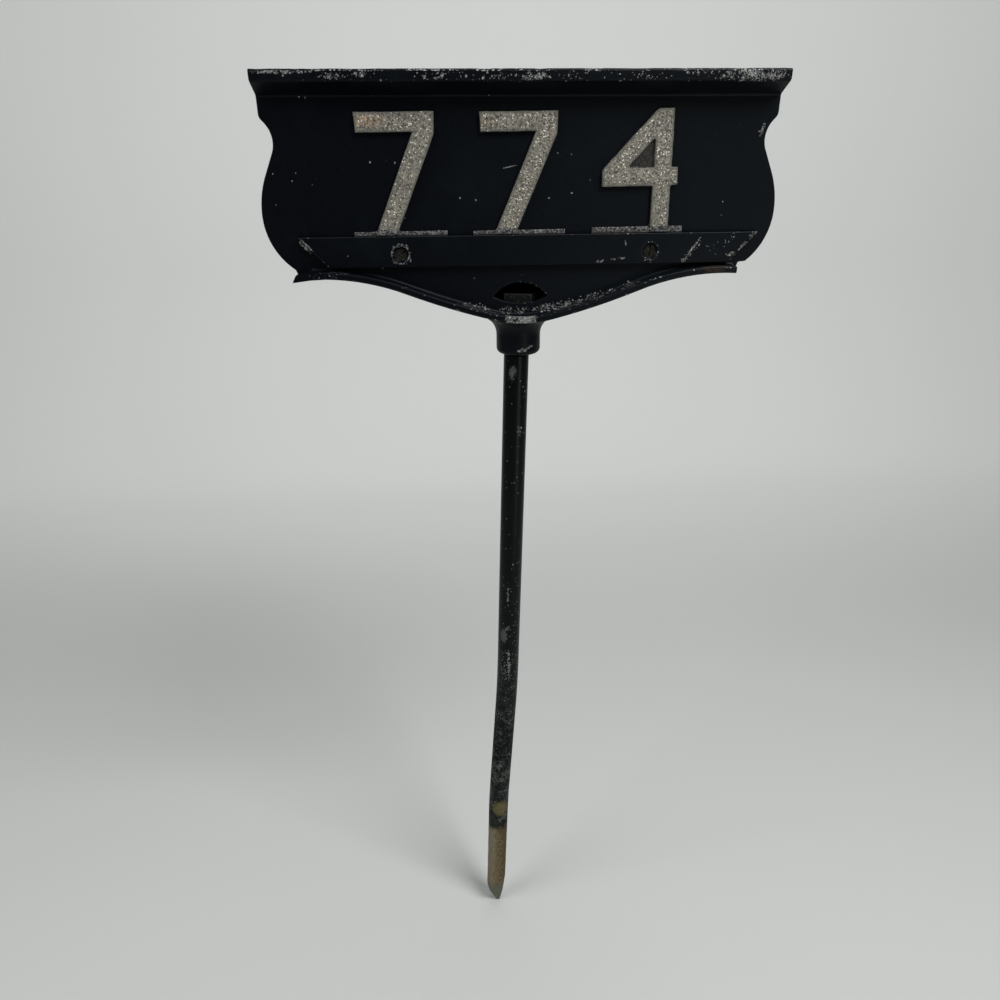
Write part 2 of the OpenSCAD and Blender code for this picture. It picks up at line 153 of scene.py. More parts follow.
class Graph:
    """Builds a material's nodes. An operand is a socket or a plain value, and a result is a socket."""

    def __init__(self, name: str) -> None:
        """Starts an empty material with a Principled shader.

        Args:
            name: Name of the material.
        """
        self.material = bpy.data.materials.new(name)
        self.material.use_nodes = True
        self.nodes = self.material.node_tree.nodes
        self.links = self.material.node_tree.links
        self.nodes.clear()
        output = self.nodes.new("ShaderNodeOutputMaterial")
        self.shader = self.nodes.new("ShaderNodeBsdfPrincipled")
        self.links.new(self.shader.outputs["BSDF"], output.inputs["Surface"])
        coordinates = self.nodes.new("ShaderNodeTexCoord")
        self.point = self._vector("SCALE", coordinates.outputs["Object"], Scale=1 / MM).outputs[0]
        self.x, self.y, self.z = self._split(self.point)

    def _feed(self, socket: Socket, value: object) -> None:
        """Links a socket, or sets a plain value.

        Args:
            socket: The input to feed.
            value: What it gets.
        """
        if isinstance(value, Socket):
            self.links.new(value, socket)
        else:
            socket.default_value = value

    def _vector(self, operation: str, value: Socket, **settings: object) -> bpy.types.Node:
        """One step of vector arithmetic.

        Args:
            operation: Blender's name for it.
            value: The vector.
            settings: Values of the node's named inputs.

        Returns:
            The node.
        """
        node = self.nodes.new("ShaderNodeVectorMath")
        node.operation = operation
        self.links.new(value, node.inputs[0])
        for name, setting in settings.items():
            node.inputs[name].default_value = setting
        return node

    def _split(self, vector: Socket) -> tuple[Socket, Socket, Socket]:
        """Takes a vector apart.

        Args:
            vector: The vector.

        Returns:
            Its X, Y and Z.
        """
        parts = self.nodes.new("ShaderNodeSeparateXYZ")
        self.links.new(vector, parts.inputs[0])
        return parts.outputs[0], parts.outputs[1], parts.outputs[2]

    def math(self, operation: str, first: object, second: object) -> Socket:
        """One arithmetic step.

        Args:
            operation: Blender's name for it.
            first: First operand.
            second: Second operand.

        Returns:
            The result.
        """
        node = self.nodes.new("ShaderNodeMath")
        node.operation = operation
        self._feed(node.inputs[0], first)
        self._feed(node.inputs[1], second)
        return node.outputs[0]

    def _chain(self, operation: str, values: tuple) -> Socket:
        """Takes several operands through the same step.

        Args:
            operation: Blender's name for the step.
            values: The operands, in order.

        Returns:
            The result.
        """
        result = values[0]
        for value in values[1:]:
            result = self.math(operation, result, value)
        return result

    def product(self, *factors: object) -> Socket:
        """The product of several values."""
        return self._chain("MULTIPLY", factors)

    def total(self, *parts: object) -> Socket:
        """The sum of several values."""
        return self._chain("ADD", parts)

    def greatest(self, *masks: object) -> Socket:
        """The greatest of several masks."""
        return self._chain("MAXIMUM", masks)

    def less(self, value: object, limit: object) -> Socket:
        """1 where the value is below the limit, else 0."""
        return self.math("LESS_THAN", value, limit)

    def ramp(self, value: Socket, low: float, high: float, to_low: float = 0.0,
             to_high: float = 1.0) -> Socket:
        """A smooth rise or fall between two values.

        Args:
            value: What is read.
            low: Where it starts.
            high: Where it ends.
            to_low: The result at the start.
            to_high: The result at the end.

        Returns:
            The result.
        """
        node = self.nodes.new("ShaderNodeMapRange")
        node.interpolation_type = "SMOOTHSTEP"
        for name, number in (("From Min", low), ("From Max", high), ("To Min", to_low), ("To Max", to_high)):
            node.inputs[name].default_value = number
        self.links.new(value, node.inputs["Value"])
        return node.outputs["Result"]

    def band(self, value: Socket, span: Span, soft: float) -> Socket:
        """1 within the span, falling to 0 over the soft width on both sides."""
        rise = self.ramp(value, span[0] - soft, span[0])
        return self.product(rise, self.ramp(value, span[1], span[1] + soft, 1.0, 0.0))

    def noise(self, size: float, detail: float = 3.0, rough: float = 0.55) -> Socket:
        """Cloudy noise around 0.5.

        Args:
            size: Width of its features, in millimetres.
            detail: Number of finer layers.
            rough: Strength of the finer layers.

        Returns:
            The noise.
        """
        node = self.nodes.new("ShaderNodeTexNoise")
        for name, number in (("Scale", 1 / size), ("Detail", detail), ("Roughness", rough)):
            node.inputs[name].default_value = number
        self.links.new(self.point, node.inputs["Vector"])
        return node.outputs["Fac"]

    def cells(self, size: float, jag: float = 0.0) -> tuple[Socket, Socket, Socket]:
        """Ragged cells, such as grains.

        Args:
            size: Width of a cell, in millimetres.
            jag: How far the cells' borders wander, in millimetres.

        Returns:
            Distance from the cell's middle, and two random numbers that belong to the cell.
        """
        node = self.nodes.new("ShaderNodeTexVoronoi")
        node.inputs["Scale"].default_value = 1 / size
        place = self.point
        if jag:
            wander = self.nodes.new("ShaderNodeTexNoise")
            wander.inputs["Scale"].default_value = 1 / size
            wander.inputs["Detail"].default_value = 2.0
            self.links.new(self.point, wander.inputs["Vector"])
            shift = self._vector("MULTIPLY_ADD", wander.outputs["Color"])
            shift.inputs[1].default_value = (jag, jag, jag)
            self.links.new(self.point, shift.inputs[2])
            place = shift.outputs[0]
        self.links.new(place, node.inputs["Vector"])
        parts = self.nodes.new("ShaderNodeSeparateColor")
        self.links.new(node.outputs["Color"], parts.inputs[0])
        return node.outputs["Distance"], parts.outputs[0], parts.outputs[1]

    def specks(self, size: float, share: float, radius: float) -> Socket:
        """Round specks in a share of a grid's cells. The size is a cell's, the radius a share of it."""
        distance, luck, _ = self.cells(size)
        return self.product(self.ramp(distance, radius * 0.6, radius, 1.0, 0.0), self.less(luck, share))

    def attribute(self, layer: Layer) -> Socket:
        """A number stored on the mesh.

        Args:
            layer: The layer that holds it.

        Returns:
            The number.
        """
        node = self.nodes.new("ShaderNodeAttribute")
        node.attribute_name = layer.value
        return node.outputs["Fac"]

    def mix(self, first: object, second: object, factor: object) -> Socket:
        """Blends two colours.

        Args:
            first: The colour at factor 0.
            second: The colour at factor 1.
            factor: Share of the second.

        Returns:
            The blend.
        """
        node = self.nodes.new("ShaderNodeMix")
        node.data_type = "RGBA"
        self._feed(node.inputs[0], factor)
        for socket, value in ((node.inputs[6], first), (node.inputs[7], second)):
            self._feed(socket, (*value, 1.0) if isinstance(value, tuple) else value)
        return node.outputs[2]

    def density(self, patches: tuple[Patch, ...], mark: Mark, wander: Socket) -> Socket:
        """Share of the grains that one kind of patch has worn, from 0 to 1.

        Args:
            patches: Every patch of the finish.
            mark: The kind to draw.
            wander: Noise around 0.5 that moves the patches' rims.

        Returns:
            The share.
        """
        total: object = 0.0
        for patch in patches:
            if patch.mark is not mark:
                continue
            mapping = self.nodes.new("ShaderNodeMapping")
            mapping.vector_type = "TEXTURE"
            mapping.inputs["Location"].default_value = patch.centre
            mapping.inputs["Rotation"].default_value = (0.0, -math.radians(patch.turn), 0.0)
            mapping.inputs["Scale"].default_value = patch.size
            self.links.new(self.point, mapping.inputs["Vector"])
            if patch.boxy:
                reach = self.greatest(*self._split(self._vector("ABSOLUTE", mapping.outputs[0]).outputs[0]))
            else:
                reach = self._vector("LENGTH", mapping.outputs[0]).outputs["Value"]
            shift = self.product(self.math("SUBTRACT", wander, 0.5), 2.0 * patch.jag)
            inside = self.ramp(self.total(reach, shift), patch.full, 1.0, patch.density, 0.0)
            total = self.greatest(total, inside)
        return total

    def chips(self, specks: tuple[Speck, ...], wander: Socket) -> Socket:
        """Single chips.

        Args:
            specks: Their places and radii.
            wander: Noise around 0.5 that moves their rims.

        Returns:
            The chips' mask.
        """
        nearest: object = 1.0
        for speck in specks:
            way = self._vector("DISTANCE", self.point)
            way.inputs[1].default_value = speck.centre
            nearest = self.math("MINIMUM", nearest, self.math("SUBTRACT", way.outputs["Value"], speck.radius))
        return self.less(nearest, self.product(self.math("SUBTRACT", wander, 0.5), CHIP_JAG))

    def bump(self, height: Socket, distance: float, below: Socket | None = None) -> Socket:
        """Relief in the finish.

        Args:
            height: The relief, between 0 and 1.
            distance: Its height in millimetres.
            below: The relief that it lies on.

        Returns:
            The normal.
        """
        node = self.nodes.new("ShaderNodeBump")
        node.inputs["Strength"].default_value = 1.0
        node.inputs["Distance"].default_value = distance * MM
        self.links.new(height, node.inputs["Height"])
        if below is not None:
            self.links.new(below, node.inputs["Normal"])
        return node.outputs["Normal"]

    def finish(self, colour: Socket, rough: object, metallic: object, normal: Socket,
               specular: float = 0.5) -> bpy.types.Material:
        """Feeds the shader.

        Args:
            colour: Base colour.
            rough: Roughness.
            metallic: Metallic share.
            normal: The relief.
            specular: Level of the shine, where 0.5 is the shader's own.

        Returns:
            The finished material.
        """
        for name, value in (("Base Color", colour), ("Roughness", rough), ("Metallic", metallic),
                            ("Specular IOR Level", specular), ("Normal", normal)):
            self._feed(self.shader.inputs[name], value)
        return self.material


@dataclass(frozen=True)
class WornPaint:
    """Satin black paint over cast aluminium, chipped and rubbed to bare metal, with a painted sheen and a
    painted highlight on its edges. Sizes in millimetres.
    """

    name: str
    paint: Colour = (0.0003, 0.0010, 0.0027)
    # Painted sheen: a lighter colour that stands in for reflections on the satin paint
    painted_sheen: Colour = (0.0026, 0.0042, 0.0058)
    # Grey of the rounded edges: polish, and a painted highlight along them
    polish_and_highlight: Colour = (0.018, 0.020, 0.021)
    metal: Colour = (0.035, 0.036, 0.035)
    pale: Colour = (0.44, 0.44, 0.43)
    rust: Colour = (0.022, 0.015, 0.011)
    roughness: float = 0.42
    specular: float = 0.105
    cloud_size: float = 38.0
    rim_waves: float = 3.4
    clump_size: float = 4.2
    grain: float = 0.95
    fine_grain: float = 0.62
    chip_groups: float = 13.0
    fleck_gap: float = 3.4
    fleck_share: float = 0.022
    fleck_radius: float = 0.17
    swell_size: float = 16.0
    peel_size: float = 2.0
    edge_polish_and_highlight: float = 0.10
    edge_chips: float = 0.03
    ledge_chips: float = 0.11
    ledge_front: Span = (664.0, 669.0)
    # Where along X the painted sheen grows, towards the right
    painted_sheen_across: Span = (-120.0, 150.0)
    patches: tuple[Patch, ...] = ()
    spots: tuple[Speck, ...] = ()

    def make(self) -> bpy.types.Material:
        """Builds the node material.

        Returns:
            The finished material.
        """
        g = Graph(self.name)
        cloud = g.noise(self.cloud_size, 4.0)
        wander = g.noise(self.rim_waves, 4.0, 0.72)
        _, luck, shade = g.cells(self.grain, 0.7)
        _, fine_luck, fine_shade = g.cells(self.fine_grain, 0.4)
        # Bare grains in the patches, chips along the edges, flecks and single chips all over
        clump = g.ramp(g.noise(self.clump_size, 3.0, 0.6), 0.36, 0.62, 0.35, 1.35)
        share = g.product(g.density(self.patches, Mark.BARE, wander), clump)
        grains = g.greatest(g.less(luck, g.product(share, 0.75)), g.less(fine_luck, g.product(share, 0.7)))
        edge = g.attribute(Layer.EDGE)
        chance = g.total(self.edge_chips, g.ramp(g.z, *self.ledge_front, 0.0, self.ledge_chips))
        chance = g.product(chance, g.ramp(g.noise(self.chip_groups, 3.0, 0.6), 0.44, 0.60, 0.1, 3.4))
        flecks = g.product(g.specks(self.fleck_gap, self.fleck_share, self.fleck_radius),
                           g.ramp(cloud, 0.38, 0.60))
        worn = g.greatest(grains, g.product(edge, g.less(luck, chance)), flecks, g.chips(self.spots, wander))
        # The paint that is left, with a painted sheen that is lighter towards the right and in clouds
        coat = g.mix(self.paint, self.painted_sheen, g.ramp(g.x, *self.painted_sheen_across, 0.0, 0.9))
        coat = g.mix(coat, self.painted_sheen, g.ramp(cloud, 0.50, 0.75, 0.0, 0.6))
        # Rounded edges lighter: polish, and a painted highlight along them
        coat = g.mix(coat, self.polish_and_highlight, g.product(edge, self.edge_polish_and_highlight))
        coat = g.mix(coat, self.rust, g.less(fine_luck, g.density(self.patches, Mark.STAIN, wander)))
        bright = g.math("POWER", g.product(g.total(shade, fine_shade), 0.5), 1.6)
        colour = g.mix(coat, g.mix(self.metal, self.pale, bright), worn)
        peel = g.noise(self.peel_size, 3.0)
        relief = g.bump(g.noise(self.swell_size, 2.0), 0.35)
        relief = g.bump(peel, 0.05, relief)
        relief = g.bump(g.math("SUBTRACT", 1.0, worn), 0.06, relief)
        rough = g.total(g.ramp(peel, 0.2, 0.8, self.roughness - 0.05, self.roughness + 0.07),
                        g.product(worn, 0.15))
        return g.finish(colour, rough, g.product(worn, 0.35), relief, self.specular)


@dataclass(frozen=True)
class BeadBlasted:
    """Cast aluminium blasted with glass beads, stained brown in its corners, with painted shade on its
    margins and flanks and painted glints. Sizes in millimetres.
    """

    name: str = "bead_blasted_aluminium"
    pit: Colour = (0.040, 0.037, 0.031)
    metal: Colour = (0.300, 0.279, 0.228)
    # Painted glints: sparkles of light off the beads
    glint: Colour = (0.86, 0.83, 0.74)
    lilac: Colour = (0.200, 0.168, 0.170)
    olive: Colour = (0.155, 0.155, 0.105)
    tan: Colour = (0.36, 0.245, 0.150)
    # Painted shade on the strokes' margins, and a darker tone on the rounded edges
    rim: Colour = (0.085, 0.085, 0.072)
    # Dark of the foot below and between its bright dashes, and painted shade on the flanks
    shade_and_dirt: Colour = (0.014, 0.011, 0.008)
    web: Colour = (0.003, 0.003, 0.0025)
    web_grain: Colour = (0.036, 0.032, 0.026)
    foot_metal: Colour = (0.21, 0.215, 0.22)
    foot_low: float = 570.0
    foot_high: float = 573.6
    bead: float = 1.05
    fine_bead: float = 0.7
    tint_size: float = 7.0
    rim_waves: float = 3.0
    dent_size: float = 1.1
    patches: tuple[Patch, ...] = ()

    def make(self) -> bpy.types.Material:
        """Builds the node material.

        Returns:
            The finished material.
        """
        g = Graph(self.name)
        beads, luck, shade = g.cells(self.bead, 0.5)
        _, fine_luck, fine_shade = g.cells(self.fine_bead, 0.35)
        tint = g.noise(self.tint_size, 3.0, 0.6)
        wander = g.noise(self.rim_waves, 4.0, 0.7)
        core = g.attribute(Layer.CORE)
        # Grainy metal with faint clouds of colour and tan stains
        level = g.ramp(g.total(g.product(shade, 0.55), g.product(fine_shade, 0.45)), 0.12, 0.88)
        base = g.mix(self.pit, self.metal, level)
        base = g.mix(base, self.lilac, g.product(g.ramp(tint, 0.54, 0.70), 0.45))
        base = g.mix(base, self.olive, g.product(g.ramp(tint, 0.46, 0.32), 0.5))
        base = g.mix(base, self.tan, g.product(g.density(self.patches, Mark.STAIN, wander), level))
        # Painted shade on the margins, where the dome falls back, and painted glints that are fewer there
        margin = g.product(g.math("SUBTRACT", 1.0, core), g.ramp(wander, 0.3, 0.7, 0.8, 1.2))
        base = g.mix(base, self.rim, g.ramp(margin, 0.1, 1.0, 0.0, 0.75))
        lucky = g.less(fine_luck, g.ramp(core, 0.3, 1.0, 0.012, 0.055))
        base = g.mix(base, self.glint, g.product(lucky, g.ramp(shade, 0.1, 0.9, 0.35, 1.0)))
        base = g.mix(base, self.rim, g.product(g.attribute(Layer.EDGE), 0.6))
        # The foot, the flanks darkened with painted shade, and the sunken web of the four
        foot = g.ramp(g.z, self.foot_high, self.foot_high + 0.6, 1.0, 0.0)
        strip = g.product(g.ramp(luck, 0.20, 0.45), g.ramp(g.z, self.foot_low, self.foot_low + 0.5))
        base = g.mix(base, g.mix(self.shade_and_dirt, self.foot_metal, g.product(strip, level)), foot)
        base = g.mix(base, self.shade_and_dirt, g.product(g.attribute(Layer.FLANK), g.ramp(fine_luck, 0.9, 0.5)))
        web = g.mix(self.web, self.web_grain, g.math("POWER", level, 2.2))
        base = g.mix(base, web, g.attribute(Layer.WEB))
        relief = g.bump(g.math("SUBTRACT", 1.0, beads), 0.12)
        relief = g.bump(g.noise(self.dent_size, 3.0, 0.7), 0.16, relief)
        return g.finish(base, g.ramp(level, 0.2, 0.8, 0.66, 0.46), 0.25, relief)


@dataclass(frozen=True)
class TarnishedSteel:
    """Dull steel with brown tarnish. Sizes in millimetres."""

    name: str
    steel: Colour
    rust: Colour
    pale: Colour
    rust_from: float
    metallic: float
    specular: float
    roughness: float = 0.55
    cloud_size: float = 2.6
    grain: float = 0.9

    def make(self) -> bpy.types.Material:
        """Builds the node material.

        Returns:
            The finished material.
        """
        g = Graph(self.name)
        cloud = g.noise(self.cloud_size, 4.0, 0.65)
        _, luck, shade = g.cells(self.grain, 0.6)
        base = g.mix(self.steel, self.rust, g.ramp(cloud, self.rust_from, self.rust_from + 0.2))
        base = g.mix(base, self.pale, g.product(g.less(luck, 0.12), shade))
        rubbed = g.product(g.attribute(Layer.EDGE), g.ramp(cloud, 0.40, 0.60, 0.1, 0.8))
        base = g.mix(base, self.pale, rubbed)
        relief = g.bump(shade, 0.05, g.bump(cloud, 0.12))
        rough = g.ramp(cloud, 0.3, 0.7, self.roughness - 0.08, self.roughness + 0.1)
        return g.finish(base, rough, self.metallic, relief, self.specular)


@dataclass(frozen=True)
class EarthStainedPaint:
    """The stake's finish by height: satin black, rubbed towards the ground, then bare and brown with earth.

    Sizes and heights are in millimetres. A fade is given as the heights where it starts and where it is full.
    """

    name: str = "stake_worn_paint"
    paint: Colour = (0.0008, 0.0016, 0.0015)
    scuff: Colour = (0.030, 0.036, 0.031)
    chip: Colour = (0.25, 0.26, 0.25)
    grey: Colour = (0.075, 0.080, 0.078)
    tan: Colour = (0.130, 0.112, 0.052)
    soil: Colour = (0.155, 0.122, 0.066)
    umber: Colour = (0.062, 0.046, 0.022)
    ash: Colour = (0.240, 0.215, 0.165)
    tip: Colour = (0.120, 0.122, 0.088)
    specular: float = 0.115
    rubbed: Span = (235.0, 70.0)
    kept: Span = (30.0, 40.0)
    chipped: Span = (330.0, 150.0)
    earth: Span = (-4.0, -17.0)
    earth_sway: float = 30.0
    point: Span = (-82.0, -104.0)
    ash_side: Span = (0.0, -6.0)
    lean: float = 0.035
    cloud_size: float = 11.0
    rim_waves: float = 3.0
    mottle_size: float = 2.4
    grain: float = 1.0
    fine_grain: float = 0.7
    lump_size: float = 6.0
    patches: tuple[Patch, ...] = ()

    def make(self) -> bpy.types.Material:
        """Builds the node material.

        Returns:
            The finished material.
        """
        g = Graph(self.name)
        cloud = g.noise(self.cloud_size, 4.0, 0.65)
        wander = g.noise(self.rim_waves, 4.0, 0.72)
        ragged = g.noise(self.mottle_size, 6.0, 0.85)
        _, luck, _ = g.cells(self.grain, 0.8)
        _, fine_luck, fine_shade = g.cells(self.fine_grain, 0.4)
        # Mottled scuffs towards the ground, but few just above it
        rub = g.product(g.ramp(g.z, *self.rubbed),
                        g.math("SUBTRACT", 1.0, g.product(g.band(g.z, self.kept, 12.0), 0.75)))
        mottle = g.total(ragged, g.product(g.ramp(cloud, 0.34, 0.66, -0.07, 0.09), rub))
        scuffed = g.product(rub, g.ramp(mottle, 0.46, 0.60))
        coat = g.mix(self.paint, self.scuff, scuffed)
        bright = g.product(scuffed, g.ramp(mottle, 0.56, 0.70, 0.0, 0.7))
        coat = g.mix(coat, self.chip, g.product(bright, g.ramp(fine_luck, 0.2, 0.8)))
        # Chips, bare patches and smooth scrapes
        chance = g.product(g.ramp(g.z, *self.chipped, 0.004, 0.03), g.ramp(cloud, 0.42, 0.62, 0.2, 2.2))
        coat = g.mix(coat, self.chip, g.product(g.less(fine_luck, chance), fine_shade))
        grains = g.less(luck, g.density(self.patches, Mark.BARE, wander))
        coat = g.mix(coat, self.chip, g.product(grains, g.ramp(fine_shade, 0.0, 1.0, 0.2, 1.0)))
        scraped = g.ramp(g.density(self.patches, Mark.SCRAPE, ragged), 0.45, 0.60)
        coat = g.mix(coat, self.grey, g.product(scraped, g.ramp(fine_shade, 0.0, 1.0, 0.6, 1.0)))
        # Earth, paler on the left and towards the point
        earth = g.mix(self.soil, self.umber, g.ramp(g.total(ragged, g.product(g.x, 0.012)), 0.40, 0.60))
        side = g.total(g.x, g.product(g.z, -self.lean))
        ash = g.product(g.ramp(side, *self.ash_side), g.ramp(ragged, 0.35, 0.60, 0.85, 0.25))
        earth = g.mix(g.mix(earth, self.ash, ash), self.tip, g.ramp(g.z, *self.point))
        level = g.total(g.z, g.product(g.math("SUBTRACT", wander, 0.5), self.earth_sway))
        below = g.ramp(level, *self.earth)
        stain = g.ramp(g.density(self.patches, Mark.STAIN, wander), 0.1, 0.85, 0.0, 0.95)
        smear = g.ramp(g.density(self.patches, Mark.SMEAR, wander), 0.1, 0.8, 0.0, 0.93)
        colour = g.mix(coat, earth, below)
        colour = g.mix(colour, g.mix(self.tan, self.umber, g.ramp(ragged, 0.42, 0.60, 0.0, 0.8)), stain)
        colour = g.mix(colour, g.mix(self.paint, self.scuff, fine_luck), smear)
        relief = g.bump(ragged, 0.10, g.bump(g.noise(self.lump_size, 3.0), 0.10))
        rough = g.ramp(g.greatest(below, stain, rub), 0.0, 1.0, 0.30, 0.72)
        return g.finish(colour, rough, 0.0, relief, self.specular)


def merged_copy(node: Node) -> bmesh.types.BMesh:
    """Copies a CAD node's mesh, closes its seams and joins its flat regions.

    Args:
        node: The node to copy.

    Returns:
        A closed mesh, to be freed by the caller.
    """
    mesh = bmesh.new()
    mesh.from_mesh(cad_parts[node.value].data)
    bmesh.ops.remove_doubles(mesh, verts=mesh.verts, dist=SEAM)
    bmesh.ops.dissolve_limit(mesh, angle_limit=FLAT, verts=mesh.verts, edges=mesh.edges)
    return mesh


def soften(mesh: bmesh.types.BMesh, width: float, sharp: float = 28.0,
           crisp: Callable[[Edge], bool] = lambda edge: False) -> None:
    """Rounds every sharp edge, and marks the rounding in the face layer EDGE.

    Args:
        mesh: The mesh to change.
        width: Distance from the edge to where the rounding starts, in millimetres.
        sharp: Least angle of an edge that is rounded, in degrees.
        crisp: Tells which edges stay as they are.
    """
    layers = mesh.faces.layers.float
    layer = layers.get(Layer.EDGE.value) or layers.new(Layer.EDGE.value)
    mesh.normal_update()
    edges = [e for e in mesh.edges
             if len(e.link_faces) == 2 and e.calc_face_angle(0.0) > math.radians(sharp) and not crisp(e)]
    made = bmesh.ops.bevel(mesh, geom=edges, offset=width * MM, offset_type="OFFSET", segments=2, profile=0.5,
                           affect="EDGES", clamp_overlap=False, material=-1, loop_slide=True)
    for face in made["faces"]:
        face[layer] = 1.0


def wander_outline(mesh: bmesh.types.BMesh, chosen: Callable[[Edge], bool], spacing: float, shift: Place,
                   wave: float) -> None:
    """Splits the chosen edges and lets their points wander, as a sand casting's outlines do.

    Args:
        mesh: The mesh to change.
        chosen: Tells which edges take part.
        spacing: Distance between the new points, in millimetres.
        shift: Greatest way along X, Y and Z, in millimetres.
        wave: Width of the waves, in millimetres.
    """
    def pieces(edge: Edge) -> int:
        """Number of stretches that an edge is split into."""
        return round(edge.calc_length() / (spacing * MM))

    mesh.normal_update()
    for count in sorted({pieces(e) for e in mesh.edges if chosen(e)}, reverse=True):
        if count > 1:
            edges = [e for e in mesh.edges if chosen(e) and pieces(e) == count]
            bmesh.ops.bisect_edges(mesh, edges=edges, cuts=count - 1)
            mesh.normal_update()
    sway({v for e in mesh.edges if chosen(e) for v in e.verts}, shift, wave)


def sway(points: set[bmesh.types.BMVert], shift: Place, wave: float) -> None:
    """Lets points wander in smooth waves.

    Args:
        points: The points to move.
        shift: Greatest way along X, Y and Z, in millimetres.
        wave: Width of the waves, in millimetres.
    """
    for vert in points:
        flat = Vector((vert.co.x, 0.0, vert.co.z)) / (wave * MM)
        way = noise.noise_vector(flat) + RIPPLE_SHARE * noise.noise_vector(flat * RIPPLE_RATE)
        vert.co += Vector(way[axis] * shift[axis] * MM for axis in range(3))


@dataclass
class Piece:
    """A finished piece of the visual model."""

    name: str
    slot: Slot
    material: bpy.types.Material
    stands_for: Node

    def place(self, mesh: bmesh.types.BMesh, smooth: float = 40.0) -> bpy.types.Object:
        """Makes the object, shades it, hides the CAD node it stands for and rides on the body.

        Args:
            mesh: The finished mesh, freed here.
            smooth: Angle above which an edge stays sharp, in degrees.

        Returns:
            The new object.
        """
        data = bpy.data.meshes.new(self.name)
        mesh.to_mesh(data)
        mesh.free()
        data.shade_smooth()
        data.set_sharp_from_angle(angle=math.radians(smooth))
        data.materials.append(self.material)
        piece = bpy.data.objects.new(self.name, data)
        bpy.context.scene.collection.objects.link(piece)
        weighted = piece.modifiers.new("even_shading", "WEIGHTED_NORMAL")
        weighted.keep_sharp = True
        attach(piece, BODY)
        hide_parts(self.stands_for.value)
        log.info("%s: %d faces for %s", self.name, len(data.polygons), self.stands_for.value)
        return piece


